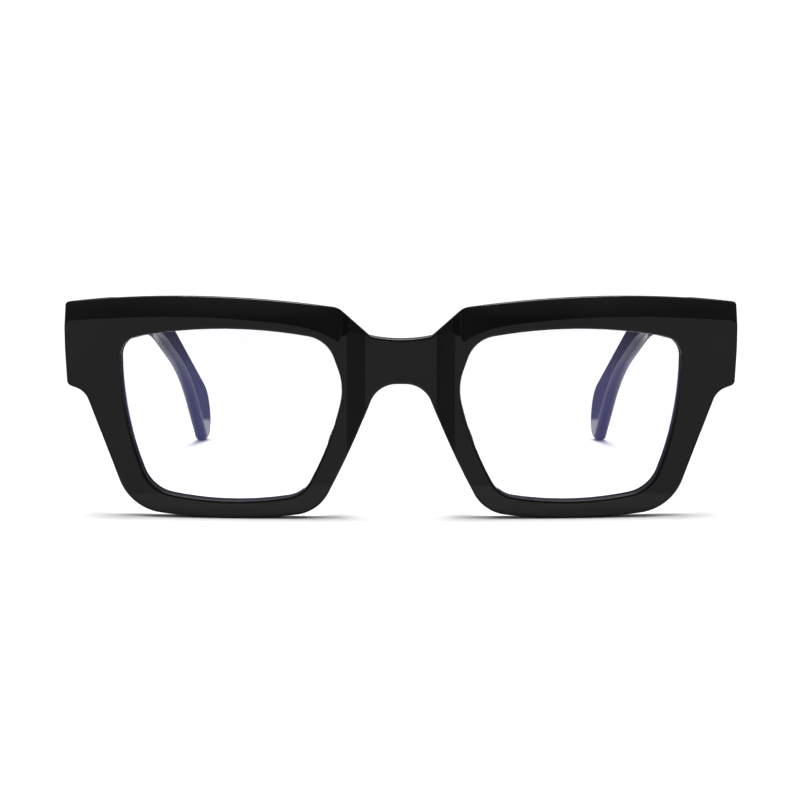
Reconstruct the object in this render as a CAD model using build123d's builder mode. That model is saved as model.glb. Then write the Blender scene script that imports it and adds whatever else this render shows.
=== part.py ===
from build123d import *
import os
from math import radians, sqrt, tan

# Blue light glasses in millimetres: a thick acetate front, two clear lenses, and two temples on
# five-knuckle hinges. +Z is up and the front faces -Y, so +X is the wearer's left. The glasses
# stand open on the lower rims and the temple tips. Left pieces are drawn, right ones mirrored.

# ---- Driving dimensions -------------------------------------------------------------------

front_width = 145.4
overall_depth = 148.6
front_y = -overall_depth / 2  # the foremost point of the front

# Front: a band of even thickness that curves back on each side, with a thicker end piece
front_thickness = 4.6
front_curve_x = 24.0  # the band is foremost here on each side of the bridge
front_radius = 155.0
back_radius = front_radius - front_thickness
bridge_half_width = 7.0
bridge_crown_y = 2.5
bridge_side_y = 2.9
bridge_back_y = 6.9
bridge_top_z = 38.4
bridge_top_radius = 29.3
bridge_top_angle = 13.4
bridge_top_overlap = 4.0  # the top arc starts this many degrees past the middle
band_start_x = 12.0  # the bridge is set back, and a straight flank steps out to the band here
flank_radius = 2.5
end_slope_x = 61.8  # the end piece thickens from here
end_start_x = 63.6
end_back_y = 12.5  # flat back of the end piece, where the temple butts
end_bottom_z = 26.9  # below this the end piece slopes into the band
end_blend_z = 22.5
end_blend_y = 7.5
end_band_y = 11.4  # the band's back inside the end piece, ahead of the end piece's rounded edges
end_band_slope = 0.08
blank_overlap = 3.0  # past the middle, trimmed before the front is mirrored
blank_height = 52.0  # taller than every outline
blank_depth = 20.0  # deeper than the front

# Brow facet: the band's upper part leans back from a crisp crease
facet_angle = 25.0
facet_lean = tan(radians(facet_angle))
brow_polish = 0.3  # polished round of the facet's top edge
acetate_polish = 0.55  # polished round of the acetate's other edges

# Lens: a 2 mm shell with a thinner tongue that sits in the rim's groove
lens_centre_x = 36.4
lens_centre_z = 22.3
lens_size = 0.998  # of the opening
lens_recess = 0.9
lens_thickness = 2.0
tongue_size = 1.032
tongue_recess = 1.4
tongue_thickness = 1.0
groove_size = 1.035
groove_gap = 0.05

# Hinge: five knuckles on a vertical M1.4 screw
pin_x = 66.65
pin_y = 14.3
hinge_z = 37.4
knuckle_radius = 1.6
knuckle_height = 1.62
knuckle_gap = 0.08
knuckle_web = 1.45
knuckle_pitch = knuckle_height + knuckle_gap
hinge_height = 5 * knuckle_height + 4 * knuckle_gap
hinge_bottom = hinge_z - hinge_height / 2
hinge_top = hinge_z + hinge_height / 2
pin_hole_radius = 0.70
pin_radius = 0.66
pin_head_radius = 1.15
pin_head_bore = 1.2
pin_head_height = 0.7

# Hinge plate on the end piece, held by two countersunk screws
front_plate_x = 66.3
front_plate_width = 4.4
front_plate_height = 13.4
front_plate_thickness = 1.0
plate_screw_offset = 5.45
plate_screw_length = 3.5
plate_screw_radius = 0.5
plate_screw_head = 1.0
plate_screw_sink = 0.5
slot_width = 0.3
slot_depth = 0.25
hang = (Align.CENTER, Align.CENTER, Align.MAX)  # a screw's head is level with its hole's top
screw_clearance = 0.03

# Hinge plate on the temple, held by two rivets
temple_plate_thickness = 0.9
temple_plate_start_y = 12.9
temple_plate_length = 14.1
rivet_rows = (19.5, 24.5)
rivet_radius = 0.6
rivet_gap = 0.02
rivet_head_radius = 1.1
rivet_head_height = 0.35

# Temple: straight at the hinge, then turned in to the head, and bent down behind the ear
temple_butt_y = 12.6
temple_inner_x = 68.4
temple_outer_x = front_width / 2
temple_faces = (temple_inner_x, temple_outer_x)
temple_bend_y = 43.6  # corner of the plan's gentle turn towards the head
temple_bend_radius = 225.0
temple_end_y = overall_depth + 1.4  # where the plan ends, just past the rounded tip
temple_tip_faces = (53.7, 57.1)
temple_thickness = temple_outer_x - temple_inner_x
temple_middle_x = sum(temple_faces) / 2
temple_tip_middle_x = sum(temple_tip_faces) / 2
temple_polish = 1.6
temple_corners = (  # depth behind the front, height, radius
    (temple_butt_y, 46.2, 0),
    (92.8, 42.4, 60.0),
    (overall_depth, 13.0, 14.0),
    (overall_depth, 0, 4.2),
    (142.0, 0, 2.5),
    (124.0, 19.8, 60.0),
    (92.0, 34.0, 40.0),
    (58.0, 34.0, 60.0),
    (temple_butt_y, 29.3, 0),
)

# Core wire: a flat strip of metal in a channel that is open at the butt face
core_thickness = 1.3
core_height = 2.4
core_start = (temple_butt_y, 42.8)
core_bend = (91.5, 39.0)
core_end = (131.0, 19.4)
core_channel_end = (131.45, 19.17)
core_bend_radius = 60.0
core_gap = 0.05

# Nose pad: a solid acetate block that tapers back from the rim
pad_x = 12.3
pad_z = 17.5
pad_tilt = 24.0
pad_sections = (  # depth behind the front, shift outwards, half width, half height
    (3.5, 0.0, 1.9, 7.0),
    (6.5, 0.5, 1.8, 6.6),
    (8.7, 1.3, 1.5, 5.7),
    (9.8, 1.8, 1.0, 4.5),
    (10.1, 1.9, 0.5, 3.4),
)

# ---- Planes: every drawing starts at the foremost point of the front ------------------------

front_plane = Plane(origin=(0, front_y, 0), x_dir=(1, 0, 0), z_dir=(0, -1, 0))
plan_plane = Plane(origin=(0, front_y, 0), x_dir=(1, 0, 0), z_dir=(0, 0, 1))
side_plane = Plane(origin=(0, front_y, 0), x_dir=(0, 1, 0), z_dir=(1, 0, 0))
lens_curve_centre = (front_curve_x, front_y + front_radius, lens_centre_z)


def depth_at(x, radius):
    """Depth behind the foremost point of the band's front or back arc."""
    return front_radius - sqrt(radius**2 - (x - front_curve_x) ** 2)


def slope_at(x, radius):
    """How fast that arc runs back as x grows."""
    return (x - front_curve_x) / sqrt(radius**2 - (x - front_curve_x) ** 2)


def round_corners(profile, corners):
    """Round the profile's corner nearest to each point, by its radius."""
    for x, y, radius in corners:
        fillet(profile.vertices().sort_by_distance((x, y, 0))[0], radius)


front_corners = (
    (6.8, 39.2, 1.0),
    (13.4, 45.1, 3.9),
    (72.8, 46.05, 0.8),
    (front_width / 2, 36.0, 33.0),
    (72.3, 28.3, 1.2),
    (68.3, 26.7, 4.4),
    (58.6, 1.9, 11.0),
    (17.75, 1.4, 8.8),
    (5.0, 28.7, 6.0),
)

opening_corners = (
    (15.7, 38.3, 7.1),
    (60.2, 38.15, 4.4),
    (53.8, 6.0, 8.2),
    (21.1, 5.2, 6.5),
    (12.2, 28.6, 12.5),
)

# The crease of the brow facet seen from ahead: straight pieces from the bridge's corner to the
# notch over the lens's nasal corner, then a curve to the end piece
bridge_crease = (
    (5.0, 39.05),
    (8.0, 39.4),
    (11.1, 40.0),
    (12.65, 39.2),
    (13.3, 37.85),
)
brow_crease = (
    bridge_crease[-1],
    (18.3, 40.35),
    (28.0, 42.15),
    (44.0, 43.2),
    (58.3, 42.95),
    (74.1, 41.9),
)


def unleaned(point):
    """Where the facet's face through a crease point meets the front plane."""
    x, z = point
    depth = depth_at(max(x, band_start_x), front_radius)
    step_share = (band_start_x - x) / (band_start_x - bridge_half_width)
    depth += min(max(step_share, 0), 1) * (bridge_side_y - depth)
    return (x, z - depth / facet_lean)


def arc_along(start_x, end_x, radius):
    """Part of the band's front or back arc, seen from above."""
    middle_x = (start_x + end_x) / 2
    return ThreePointArc(*((x, depth_at(x, radius)) for x in (start_x, middle_x, end_x)))


with BuildSketch() as front_profile:
    with BuildLine():
        bridge_top = CenterArc(
            (0, bridge_top_z + bridge_top_radius),
            bridge_top_radius,
            -90 - bridge_top_overlap,
            bridge_top_angle + bridge_top_overlap,
        )
        Line(bridge_top @ 1, (13.4, 45.1))
        ThreePointArc((13.4, 45.1), (46.8, 47.6), (72.8, 46.05))
        Polyline(
            (72.8, 46.05),
            (front_width / 2, 36.0),
            (72.3, 28.3),
            (68.3, 26.7),
            (58.6, 1.9),
        )
        ThreePointArc((58.6, 1.9), (36.6, 0), (17.75, 1.4))
        ThreePointArc((17.75, 1.4), (10.75, 15.1), (5.0, 28.7))
        Polyline((5.0, 28.7), ((bridge_top @ 0).X, 28.7), bridge_top @ 0)
    make_face()
    round_corners(front_profile, front_corners)

with BuildSketch() as opening_profile:
    with BuildLine():
        ThreePointArc((15.7, 38.3), (38.4, 40.7), (60.2, 38.15))
        ThreePointArc((60.2, 38.15), (59.3, 23.4), (53.8, 6.0))
        ThreePointArc((53.8, 6.0), (36.2, 3.8), (21.1, 5.2))
        ThreePointArc((21.1, 5.2), (13.95, 21.2), (12.2, 28.6))
        Line((12.2, 28.6), (15.7, 38.3))
    make_face()
    round_corners(opening_profile, opening_corners)


def lens_shell(size, recess, thickness):
    """A shell on the lens curve, with the opening's outline at a relative size."""
    with BuildPart() as shell:
        with BuildSketch(front_plane):
            add(opening_profile.sketch)
            scale(by=size, about=(lens_centre_x, lens_centre_z))
        extrude(amount=-blank_depth)
        with Locations(lens_curve_centre):
            Sphere(front_radius - recess, mode=Mode.INTERSECT)
            Sphere(front_radius - recess - thickness, mode=Mode.SUBTRACT)
    return shell.part


end_back_face = front_y + end_back_y
plate_screws = [
    Plane(
        origin=(front_plate_x, end_back_face, hinge_z + side * plate_screw_offset),
        x_dir=(1, 0, 0),
        z_dir=(0, 1, 0),
    )
    for side in (-1, 1)
]
rivet_places = [
    Plane(
        origin=(temple_inner_x, front_y + y, hinge_z),
        x_dir=(0, 1, 0),
        z_dir=(-1, 0, 0),
    )
    for y in rivet_rows
]


def save(piece, name):
    """Label a finished piece and write its file."""
    piece.part.label = name
    export_step(piece.part, f"parts/{name}.step")


def save_pair(piece, name):
    """Write a piece of the wearer's left side and its mirror image on the right."""
    with BuildPart() as right_piece:
        mirror(piece.part, about=Plane.YZ)
    save(piece, name + "_left")
    save(right_piece, name + "_right")


os.makedirs("parts", exist_ok=True)

# ---- Front ----------------------------------------------------------------------------------

band_end_x = front_width / 2 + 1

with BuildPart() as end_block:
    with BuildSketch(side_plane):
        Polygon(
            (end_blend_y, end_blend_z),
            (end_back_y, end_bottom_z),
            (end_back_y, blank_height),
            (end_blend_y, blank_height),
            align=None,
        )
    extrude(amount=band_end_x)
    with BuildSketch(plan_plane):
        Polygon(
            (end_slope_x, end_blend_y),
            (end_slope_x, depth_at(end_slope_x, back_radius)),
            (end_start_x, end_back_y),
            (band_end_x, end_back_y),
            (band_end_x, end_blend_y),
            align=None,
        )
    extrude(amount=blank_height, mode=Mode.INTERSECT)
    with BuildSketch(front_plane):
        add(front_profile.sketch)
    extrude(amount=-blank_depth, mode=Mode.INTERSECT)
    back_face = end_block.faces().sort_by(Axis.Y)[-1]
    fillet(back_face.edges(), acetate_polish)

with BuildPart() as brow_cut:
    with BuildSketch(front_plane):
        with BuildLine():
            Polyline([unleaned(point) for point in bridge_crease])
            Spline([unleaned(point) for point in brow_crease])
            Polyline(
                unleaned(brow_crease[-1]),
                (brow_crease[-1][0], blank_height),
                (bridge_crease[0][0], blank_height),
                unleaned(bridge_crease[0]),
            )
        make_face()
    extrude(amount=2 * blank_depth, dir=(0, facet_lean, 1))

flank_corners = (
    (bridge_half_width, bridge_side_y, flank_radius),
    (band_start_x, depth_at(band_start_x, front_radius), flank_radius),
)

with BuildPart() as front_frame:
    with BuildSketch(plan_plane.offset(-1)) as front_plan:
        with BuildLine():
            TangentArc(
                (0, bridge_crown_y), (bridge_half_width, bridge_side_y), tangent=(1, 0)
            )
            Line(
                (bridge_half_width, bridge_side_y),
                (band_start_x, depth_at(band_start_x, front_radius)),
            )
            arc_along(band_start_x, band_end_x, front_radius)
            Line(
                (band_end_x, depth_at(band_end_x, front_radius)),
                (band_end_x, end_band_y),
            )
            Spline(
                (band_end_x, end_band_y),
                (end_slope_x, depth_at(end_slope_x, back_radius)),
                tangents=((-1, -end_band_slope), (-1, -slope_at(end_slope_x, back_radius))),
            )
            arc_along(end_slope_x, band_start_x, back_radius)
            Spline(
                (band_start_x, depth_at(band_start_x, back_radius)),
                (0, bridge_back_y),
                tangents=((-1, -slope_at(band_start_x, back_radius)), (-1, 0)),
            )
            Polyline(
                (0, bridge_back_y),
                (-blank_overlap, bridge_back_y),
                (-blank_overlap, bridge_crown_y),
                (0, bridge_crown_y),
            )
        make_face()
        round_corners(front_plan, flank_corners)
    extrude(amount=blank_height)
    with BuildSketch(front_plane):
        add(front_profile.sketch)
        add(opening_profile.sketch, mode=Mode.SUBTRACT)
    extrude(amount=-blank_depth, mode=Mode.INTERSECT)
    flat_edges = front_frame.edges().filter_by(Axis.Y) + front_frame.edges().filter_by(Axis.Z)
    fillet(front_frame.edges() - flat_edges, acetate_polish)
    split(bisect_by=Plane.YZ)
    add(end_block.part)
    add(brow_cut.part, mode=Mode.SUBTRACT)
    fillet(front_frame.edges().sort_by(Axis.Z)[-1], brow_polish)
    add(
        lens_shell(groove_size, tongue_recess - groove_gap, tongue_thickness + 2 * groove_gap),
        mode=Mode.SUBTRACT,
    )
    with BuildSketch(Plane.XZ.offset(-end_back_face)):
        with Locations((front_plate_x, hinge_z)):
            Rectangle(front_plate_width, front_plate_height)
    extrude(amount=front_plate_thickness, mode=Mode.SUBTRACT)
    with Locations(*plate_screws):
        Hole(plate_screw_radius + screw_clearance, depth=plate_screw_length + screw_clearance)
    mirror(about=Plane.YZ)

save(front_frame, "front_frame")

# ---- Lenses ---------------------------------------------------------------------------------

with BuildPart() as lens:
    add(lens_shell(lens_size, lens_recess, lens_thickness))
    add(lens_shell(tongue_size, tongue_recess, tongue_thickness))

save_pair(lens, "lens")

# ---- Nose pads ------------------------------------------------------------------------------

with BuildPart() as nose_pad:
    for y, shift, half_width, half_height in pad_sections:
        with BuildSketch(front_plane.offset(-y)):
            with Locations(Location((pad_x + shift, pad_z), pad_tilt)):
                Ellipse(half_width, half_height)
    loft()
    add(front_frame.part, mode=Mode.SUBTRACT)

save_pair(nose_pad, "nose_pad")

# ---- Hinge ----------------------------------------------------------------------------------

with BuildPart() as hinge_front_leaf:
    with BuildSketch(Plane.XZ.offset(-end_back_face)):
        with Locations((front_plate_x, hinge_z)):
            Rectangle(front_plate_width, front_plate_height)
    extrude(amount=front_plate_thickness)
    for level in (0, 2, 4):
        with BuildSketch(plan_plane.offset(hinge_bottom + level * knuckle_pitch)):
            with Locations((pin_x, pin_y)):
                Circle(knuckle_radius)
            with Locations((pin_x, (pin_y + end_back_y) / 2)):
                Rectangle(2 * knuckle_web, pin_y - end_back_y)
        extrude(amount=knuckle_height)
    with Locations((pin_x, front_y + pin_y, hinge_top)):
        CounterBoreHole(pin_hole_radius, pin_head_bore, pin_head_height, depth=hinge_height)
    with Locations(*plate_screws):
        CounterSinkHole(
            plate_screw_radius + screw_clearance,
            plate_screw_head + screw_clearance,
            depth=front_plate_thickness,
            counter_sink_angle=90,
        )

save_pair(hinge_front_leaf, "hinge_front_leaf")

with BuildPart() as hinge_temple_leaf:
    with BuildSketch(plan_plane.offset(hinge_bottom)):
        with Locations((temple_inner_x, temple_plate_start_y)):
            Rectangle(temple_plate_thickness, temple_plate_length, align=Align.MIN)
    extrude(amount=hinge_height)
    for level in (1, 3):
        with BuildSketch(plan_plane.offset(hinge_bottom + level * knuckle_pitch)):
            with Locations((pin_x, pin_y)):
                Circle(knuckle_radius)
                Rectangle(
                    temple_inner_x - pin_x, 2 * knuckle_web, align=(Align.MIN, Align.CENTER)
                )
        extrude(amount=knuckle_height)
    with Locations((pin_x, front_y + pin_y, hinge_top)):
        Hole(pin_hole_radius, depth=hinge_height)
    with Locations(*rivet_places):
        Hole(rivet_radius + rivet_gap, depth=temple_plate_thickness)

save_pair(hinge_temple_leaf, "hinge_temple_leaf")

with BuildPart() as hinge_screw:
    with Locations((pin_x, front_y + pin_y, hinge_top)):
        Cylinder(pin_radius, hinge_height, align=hang)
        Cylinder(pin_head_radius, pin_head_height, align=hang)
        Box(2 * pin_head_radius, slot_width, slot_depth, align=hang, mode=Mode.SUBTRACT)

save_pair(hinge_screw, "hinge_screw")

with BuildPart() as front_hinge_screws:
    with Locations(*plate_screws):
        Cylinder(plate_screw_radius, plate_screw_length, align=hang)
        Cone(plate_screw_radius, plate_screw_head, plate_screw_sink, align=hang)
        Box(2 * plate_screw_head, slot_width, slot_depth, align=hang, mode=Mode.SUBTRACT)

save_pair(front_hinge_screws, "front_hinge_screws")

with BuildPart() as temple_rivets:
    for place in rivet_places:
        with BuildSketch(Plane(origin=place.origin, x_dir=(1, 0, 0), z_dir=(0, -1, 0))):
            with BuildLine():
                Polyline(
                    (temple_thickness, rivet_head_radius),
                    (temple_thickness, rivet_radius),
                    (0, rivet_radius),
                    (0, 0),
                    (temple_thickness + rivet_head_height, 0),
                )
                TangentArc(
                    (temple_thickness + rivet_head_height, 0),
                    (temple_thickness, rivet_head_radius),
                    tangent=(0, 1),
                )
            make_face()
        revolve(axis=Axis(place.origin, (1, 0, 0)))

save_pair(temple_rivets, "temple_rivets")

# ---- Temples --------------------------------------------------------------------------------


def temple_plan(faces, tip_faces):
    """The temple between two faces seen from above: straight, then turned in to the head."""
    with BuildSketch() as plan:
        Polygon(
            (faces[0], temple_butt_y),
            (faces[1], temple_butt_y),
            (faces[1], temple_bend_y),
            (tip_faces[1], temple_end_y),
            (tip_faces[0], temple_end_y),
            (faces[0], temple_bend_y),
            align=None,
        )
        round_corners(plan, [(x, temple_bend_y, temple_bend_radius) for x in faces])
    return plan.sketch


def core_strip(thickness, height, end):
    """A flat strip along the temple's middle, from the butt face to its end."""
    sides = (-thickness / 2, thickness / 2)
    with BuildPart() as strip:
        with BuildSketch(plan_plane):
            add(
                temple_plan(
                    [temple_middle_x + side for side in sides],
                    [temple_tip_middle_x + side for side in sides],
                )
            )
        extrude(amount=blank_height)
        with BuildSketch(side_plane):
            with BuildLine():
                FilletPolyline(core_start, core_bend, end, radius=core_bend_radius)
            trace(line_width=height)
        extrude(amount=temple_outer_x, mode=Mode.INTERSECT)
    return strip.part


with BuildPart() as core_wire:
    add(core_strip(core_thickness, core_height, core_end))

save_pair(core_wire, "core_wire")

with BuildPart() as temple:
    with BuildSketch(plan_plane):
        add(temple_plan(temple_faces, temple_tip_faces))
    extrude(amount=blank_height)
    with BuildSketch(side_plane) as temple_outline:
        Polygon(*[(y, z) for y, z, radius in temple_corners], align=None)
        round_corners(temple_outline, [corner for corner in temple_corners if corner[2]])
    extrude(amount=temple_outer_x, mode=Mode.INTERSECT)
    cross_edges = temple.edges().filter_by(Axis.X) + temple.edges().filter_by(Axis.Z)
    fillet(temple.edges() - cross_edges, temple_polish)
    add(
        core_strip(core_thickness + 2 * core_gap, core_height + 2 * core_gap, core_channel_end),
        mode=Mode.SUBTRACT,
    )
    with BuildSketch(plan_plane.offset(hinge_bottom)):
        with Locations((temple_inner_x, temple_plate_start_y)):
            Rectangle(temple_plate_thickness, temple_plate_length, align=Align.MIN)
    extrude(amount=hinge_height, mode=Mode.SUBTRACT)
    with Locations(*rivet_places):
        Hole(rivet_radius + rivet_gap, depth=2 * temple_thickness)

save_pair(temple, "temple")
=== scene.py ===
import math

import bpy
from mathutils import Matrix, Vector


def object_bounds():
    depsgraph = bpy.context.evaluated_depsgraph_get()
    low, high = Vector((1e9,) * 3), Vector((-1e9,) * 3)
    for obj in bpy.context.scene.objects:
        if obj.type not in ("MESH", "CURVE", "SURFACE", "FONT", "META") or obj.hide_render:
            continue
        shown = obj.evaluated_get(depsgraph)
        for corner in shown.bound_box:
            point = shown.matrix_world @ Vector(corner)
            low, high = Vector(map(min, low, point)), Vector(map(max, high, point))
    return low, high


# Blue light glasses: black polished acetate, clear lenses with a faint blue-violet coat and
# small metal hinges. The CAD nodes carry the shapes, and this script gives them their finish.

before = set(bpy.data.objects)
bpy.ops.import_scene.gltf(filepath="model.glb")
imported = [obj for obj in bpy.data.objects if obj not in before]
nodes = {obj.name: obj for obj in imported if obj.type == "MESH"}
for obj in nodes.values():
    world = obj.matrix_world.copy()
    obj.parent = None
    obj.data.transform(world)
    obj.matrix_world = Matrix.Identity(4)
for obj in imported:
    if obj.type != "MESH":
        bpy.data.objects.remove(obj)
cad_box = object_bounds()


# ---- Node helpers -----------------------------------------------------------------------------


def new_material(name):
    """A material with an empty tree but for its output, and its object coordinates."""
    material = bpy.data.materials.new(name)
    material.use_nodes = True
    tree = material.node_tree
    tree.nodes.clear()
    output = tree.nodes.new("ShaderNodeOutputMaterial")
    coords = tree.nodes.new("ShaderNodeTexCoord").outputs["Object"]
    return material, tree, output, coords


def noise(tree, coords, scale, detail=3.0, roughness=0.5, stretch=(1, 1, 1)):
    """A noise over the object, at a scale in features per metre, stretched along each axis."""
    mapping = tree.nodes.new("ShaderNodeMapping")
    mapping.inputs["Scale"].default_value = stretch
    tree.links.new(coords, mapping.inputs["Vector"])
    texture = tree.nodes.new("ShaderNodeTexNoise")
    texture.inputs["Scale"].default_value = scale
    texture.inputs["Detail"].default_value = detail
    texture.inputs["Roughness"].default_value = roughness
    tree.links.new(mapping.outputs["Vector"], texture.inputs["Vector"])
    return texture.outputs["Fac"]


def spread(tree, value, low, high, source=(0.35, 0.65)):
    """Maps one range of a value to another, from a noise's usual range unless source is given."""
    node = tree.nodes.new("ShaderNodeMapRange")
    node.inputs["From Min"].default_value = source[0]
    node.inputs["From Max"].default_value = source[1]
    node.inputs["To Min"].default_value = low
    node.inputs["To Max"].default_value = high
    tree.links.new(value, node.inputs["Value"])
    return node.outputs["Result"]


def math_of(tree, operation, first, second=0.0):
    """One arithmetic step on two values, each a socket or a number."""
    node = tree.nodes.new("ShaderNodeMath")
    node.operation = operation
    for socket, value in zip(node.inputs, (first, second)):
        if isinstance(value, (int, float)):
            socket.default_value = value
        else:
            tree.links.new(value, socket)
    return node.outputs["Value"]


def ramp(tree, value, stops):
    """A blend of two colours along a value, each a (position, colour) stop."""
    node = tree.nodes.new("ShaderNodeValToRGB")
    for element, (position, colour) in zip(node.color_ramp.elements, stops):
        element.position = position
        element.color = (*colour, 1.0)
    tree.links.new(value, node.inputs["Fac"])
    return node.outputs["Color"]


def bump(tree, height, strength, distance):
    """A normal tilted by a height."""
    node = tree.nodes.new("ShaderNodeBump")
    node.inputs["Strength"].default_value = strength
    node.inputs["Distance"].default_value = distance
    tree.links.new(height, node.inputs["Height"])
    return node.outputs["Normal"]


# ---- Materials --------------------------------------------------------------------------------

ACETATE_IOR = 1.49
ACETATE_BLACKS = ((0.3, (0.0022, 0.0021, 0.0020)), (0.7, (0.0040, 0.0038, 0.0036)))
BEST_POLISH = 0.05  # roughness
WORST_POLISH = 0.09
POLISH_RELIEF = 0.00006  # height of the waves, in metres
BUFFING_SHARE = 0.02  # of the waves' height
FRONT_GLOSS = 0.17
TEMPLE_GLOSS = 0.08
HAND_HAZE = 0.03  # roughness added on pads and temples, and twice this at the worst polish
FACET_Z = 0.0425  # the brow facet starts about here
FACET_CROWN = 22.0  # curvature per metre

COAT_TINTS = ((0.3, (0.30, 0.36, 1.0)), (0.7, (0.40, 0.36, 0.95)))
COAT_LEAST = 0.048  # how solid the coat is, seen straight on
COAT_MOST = 0.058
COAT_AT_EDGE = 0.5  # added at a glancing angle

METAL_DARKENING = 0.82
SMOOTHEST_LINES = 0.75  # share of a metal's roughness
ROUGHEST_LINES = 1.35
BRUSHING_RELIEF = 0.00001  # metres
ALONG_Z = (1, 1, 0.06)  # how brushing lines stretch the noise
ALONG_Y = (1, 0.06, 1)
NO_LINES = (1, 1, 1)


def acetate(name, haze, gloss, crown=0.0):
    """Jet black acetate with a hand polish: soft waviness, faint haze and fine buffing marks.

    The crown is the slight doming that polishing gives the brow facet, as a curvature per metre.
    """
    material, tree, output, coords = new_material(name)
    shader = tree.nodes.new("ShaderNodeBsdfPrincipled")
    mottle = noise(tree, coords, scale=60, detail=4)
    shader.inputs["IOR"].default_value = ACETATE_IOR
    shader.inputs["Specular IOR Level"].default_value = gloss
    tree.links.new(ramp(tree, mottle, ACETATE_BLACKS), shader.inputs["Base Color"])
    cloud = noise(tree, coords, scale=140, detail=5, roughness=0.6)
    roughness = spread(tree, cloud, BEST_POLISH + haze, WORST_POLISH + 2 * haze)
    tree.links.new(roughness, shader.inputs["Roughness"])
    waves = noise(tree, coords, scale=45, detail=1)
    buffing = noise(tree, coords, scale=900, detail=2, stretch=(0.15, 1, 1))
    relief = math_of(tree, "ADD", waves, math_of(tree, "MULTIPLY", buffing, BUFFING_SHARE))
    polish = bump(tree, relief, strength=0.35, distance=POLISH_RELIEF)
    tree.links.new(polish, shader.inputs["Normal"])
    if crown:
        axes = tree.nodes.new("ShaderNodeSeparateXYZ")
        tree.links.new(coords, axes.inputs["Vector"])
        rise = math_of(tree, "MAXIMUM", math_of(tree, "SUBTRACT", axes.outputs["Z"], FACET_Z), 0)
        dome = math_of(tree, "MULTIPLY", math_of(tree, "MULTIPLY", rise, rise), -crown / 2)
        domed = bump(tree, dome, strength=1.0, distance=1.0)
        tree.links.new(polish, domed.node.inputs["Normal"])
        tree.links.new(domed, shader.inputs["Normal"])
    tree.links.new(shader.outputs["BSDF"], output.inputs["Surface"])
    return material


def coated_lens(name):
    """A clear lens: see-through, with a thin blue-violet coat that shows over dark things."""
    material, tree, output, coords = new_material(name)
    shader = tree.nodes.new("ShaderNodeBsdfPrincipled")
    shader.inputs["Metallic"].default_value = 1.0
    film = noise(tree, coords, scale=14, detail=1)
    tree.links.new(ramp(tree, film, COAT_TINTS), shader.inputs["Base Color"])
    smudge = noise(tree, coords, scale=220, detail=6, roughness=0.65)
    tree.links.new(spread(tree, smudge, low=0.02, high=0.05), shader.inputs["Roughness"])
    facing = tree.nodes.new("ShaderNodeLayerWeight")
    facing.inputs["Blend"].default_value = 0.25
    edge = math_of(tree, "MULTIPLY", facing.outputs["Fresnel"], COAT_AT_EDGE)
    coat = math_of(tree, "ADD", edge, spread(tree, smudge, COAT_LEAST, COAT_MOST))
    tree.links.new(coat, shader.inputs["Alpha"])
    tree.links.new(shader.outputs["BSDF"], output.inputs["Surface"])
    return material


def brushed_metal(name, colour, roughness, stretch):
    """Nickel silver or steel with fine brushing lines and a little colour variation."""
    material, tree, output, coords = new_material(name)
    shader = tree.nodes.new("ShaderNodeBsdfPrincipled")
    shader.inputs["Metallic"].default_value = 1.0
    patches = noise(tree, coords, scale=500, detail=4)
    darker = tuple(METAL_DARKENING * part for part in colour)
    tree.links.new(
        ramp(tree, patches, ((0.35, darker), (0.65, colour))), shader.inputs["Base Color"]
    )
    lines = noise(tree, coords, scale=2500, detail=3, roughness=0.7, stretch=stretch)
    worn = spread(tree, lines, roughness * SMOOTHEST_LINES, roughness * ROUGHEST_LINES)
    tree.links.new(worn, shader.inputs["Roughness"])
    grooves = bump(tree, lines, strength=0.4, distance=BRUSHING_RELIEF)
    tree.links.new(grooves, shader.inputs["Normal"])
    tree.links.new(shader.outputs["BSDF"], output.inputs["Surface"])
    return material


# A node takes the finish whose name is the longest that its own name starts with.
finishes = {
    "front_frame": acetate("polished_acetate", 0.0, FRONT_GLOSS, crown=FACET_CROWN),
    "nose_pad": acetate("pad_acetate", HAND_HAZE, FRONT_GLOSS),
    "temple": acetate("temple_polish", HAND_HAZE, TEMPLE_GLOSS),
    "lens": coated_lens("coated_lens"),
    "hinge": brushed_metal("hinge_nickel", (0.46, 0.45, 0.43), 0.28, ALONG_Z),
    "core_wire": brushed_metal("core_nickel", (0.44, 0.43, 0.41), 0.32, ALONG_Y),
    "hinge_screw": brushed_metal("screw_steel", (0.55, 0.55, 0.56), 0.18, NO_LINES),
    "front_hinge_screws": brushed_metal("plate_steel", (0.53, 0.53, 0.54), 0.2, NO_LINES),
    "temple_rivets": brushed_metal("rivet_steel", (0.62, 0.61, 0.6), 0.16, NO_LINES),
}

for name, node in nodes.items():
    kind = max((key for key in finishes if name.startswith(key)), key=len)
    node.data.materials.clear()
    node.data.materials.append(finishes[kind])


# ---- Floor ------------------------------------------------------------------------------------

FLOOR_RADIUS = 0.125
PAPER_WHITES = ((0.3, (0.93, 0.93, 0.93)), (0.7, (0.94, 0.94, 0.94)))

bpy.ops.mesh.primitive_circle_add(vertices=96, radius=FLOOR_RADIUS, fill_type="NGON")
floor = bpy.context.object
floor.name = "floor"
paper, tree, output, coords = new_material("paper")
shader = tree.nodes.new("ShaderNodeBsdfPrincipled")
shader.inputs["Specular IOR Level"].default_value = 0.0
shader.inputs["Roughness"].default_value = 1.0
tree.links.new(
    ramp(tree, noise(tree, coords, scale=3), PAPER_WHITES), shader.inputs["Base Color"]
)
tree.links.new(shader.outputs["BSDF"], output.inputs["Surface"])
floor.data.materials.append(paper)


# ---- Light ------------------------------------------------------------------------------------

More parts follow.
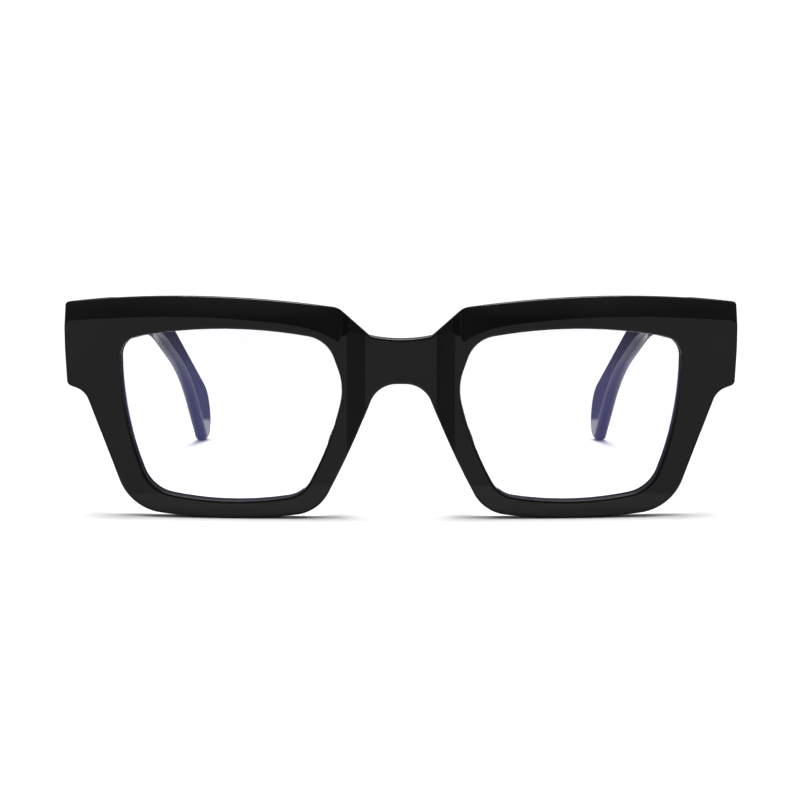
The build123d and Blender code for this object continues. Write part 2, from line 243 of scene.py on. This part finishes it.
# The room is a white sweep with dim things in it: a card ahead of the glasses and above them, a
# skirt low behind them, and a flank on each side with a bright panel beyond it. Each is placed by
# its direction from the glasses, as a unit vector: Y is back, Z is up and the size of X is to
# either side. A pair is the range of that part over which the thing fades in or out, and a share
# is how dim it is against a full 1.
CARD_BACK = (-0.45, 0.1)  # Y
CARD_BOTTOM = (0.02, 0.15)  # Z
CARD_TOP = (0.71, 0.95)  # Z
CARD_PALES = (0.1, 0.5)  # X
CARD_PALE_SHARE = 0.82
CARD_FULL_AGAIN = (0.66, 0.70)  # X
SKIRT_FRONT = (0.1, 0.4)  # Y
SKIRT_TOP = (0.28, 0.6)  # Z
SKIRT_SHARE = 0.97
FLANK_START = (0.71, 0.79)  # X
FLANK_END = (0.91, 0.96)  # X
FLANK_SHARE = 0.78
PANEL_START = (0.93, 0.98)  # X
SWEEP_LIGHT = 1.42
DIM_LIGHT = 0.10
PANEL_LIGHT = 4.0
BACKDROP_LIGHT = 1.4

world = bpy.data.worlds.new("room")
bpy.context.scene.world = world
world.use_nodes = True
sky = world.node_tree
sky.nodes.clear()
direction = sky.nodes.new("ShaderNodeTexCoord").outputs["Generated"]
compass = sky.nodes.new("ShaderNodeSeparateXYZ")
sky.links.new(direction, compass.inputs["Vector"])
aside = math_of(sky, "ABSOLUTE", compass.outputs["X"])
back = compass.outputs["Y"]
up = compass.outputs["Z"]

card_height = math_of(
    sky,
    "MULTIPLY",
    spread(sky, up, 0.0, 1.0, source=CARD_BOTTOM),
    spread(sky, up, 1.0, 0.0, source=CARD_TOP),
)
card = math_of(sky, "MULTIPLY", spread(sky, back, 1.0, 0.0, source=CARD_BACK), card_height)
card_shade = math_of(
    sky,
    "MAXIMUM",
    spread(sky, aside, 1.0, CARD_PALE_SHARE, source=CARD_PALES),
    spread(sky, aside, 0.0, 1.0, source=CARD_FULL_AGAIN),
)
card = math_of(sky, "MULTIPLY", card, card_shade)
skirt_height = spread(sky, up, 1.0, 0.0, source=SKIRT_TOP)
skirt = math_of(
    sky,
    "MULTIPLY",
    spread(sky, back, 0.0, 1.0, source=SKIRT_FRONT),
    math_of(sky, "MULTIPLY", skirt_height, SKIRT_SHARE),
)
flank = math_of(
    sky,
    "MULTIPLY",
    spread(sky, aside, 0.0, FLANK_SHARE, source=FLANK_START),
    spread(sky, aside, 1.0, 0.0, source=FLANK_END),
)
dim = math_of(sky, "MAXIMUM", card, math_of(sky, "MAXIMUM", skirt, flank))
panels = spread(sky, aside, 0.0, PANEL_LIGHT, source=PANEL_START)
sweep = spread(sky, dim, SWEEP_LIGHT, DIM_LIGHT, source=(0.0, 1.0))
lit = math_of(sky, "ADD", sweep, panels)

# The camera itself sees plain white, and everything else is lit by the room.
room_light = sky.nodes.new("ShaderNodeBackground")
sky.links.new(lit, room_light.inputs["Strength"])
backdrop = sky.nodes.new("ShaderNodeBackground")
backdrop.inputs["Strength"].default_value = BACKDROP_LIGHT
seen = sky.nodes.new("ShaderNodeLightPath")
choice = sky.nodes.new("ShaderNodeMixShader")
sky.links.new(seen.outputs["Is Camera Ray"], choice.inputs["Fac"])
sky.links.new(room_light.outputs["Background"], choice.inputs[1])
sky.links.new(backdrop.outputs["Background"], choice.inputs[2])
sky_output = sky.nodes.new("ShaderNodeOutputWorld")
sky.links.new(choice.outputs["Shader"], sky_output.inputs["Surface"])

OVERHEAD_STRENGTH = 3.2
OVERHEAD_SOFTNESS = math.radians(28)
OVERHEAD_TILT = math.radians(-8)

overhead = bpy.data.lights.new("overhead", "SUN")
overhead.energy = OVERHEAD_STRENGTH
overhead.angle = OVERHEAD_SOFTNESS
overhead_lamp = bpy.data.objects.new("overhead", overhead)
bpy.context.scene.collection.objects.link(overhead_lamp)
overhead_lamp.rotation_euler = (OVERHEAD_TILT, 0, 0)


# ---- Camera -----------------------------------------------------------------------------------

SENSOR_WIDTH = 36.0  # mm
FOCAL_LENGTH = 93.3  # mm
CAMERA_ASIDE = -0.0002  # metres, as are the next three
CAMERA_AHEAD = 0.440
CAMERA_HEIGHT = 0.0689
AIM_HEIGHT = 0.0256

front_y = cad_box[0].y
camera_data = bpy.data.cameras.new("camera")
camera_data.sensor_width = SENSOR_WIDTH
camera_data.lens = FOCAL_LENGTH
camera_data.clip_start = 0.01
camera = bpy.data.objects.new("camera", camera_data)
bpy.context.scene.collection.objects.link(camera)
camera.location = (CAMERA_ASIDE, front_y - CAMERA_AHEAD, CAMERA_HEIGHT)
target = camera.location.copy()
target.y, target.z = front_y, AIM_HEIGHT
camera.rotation_euler = (target - camera.location).to_track_quat("-Z", "Y").to_euler()
bpy.context.scene.camera = camera

bpy.context.scene.view_settings.view_transform = "Standard"
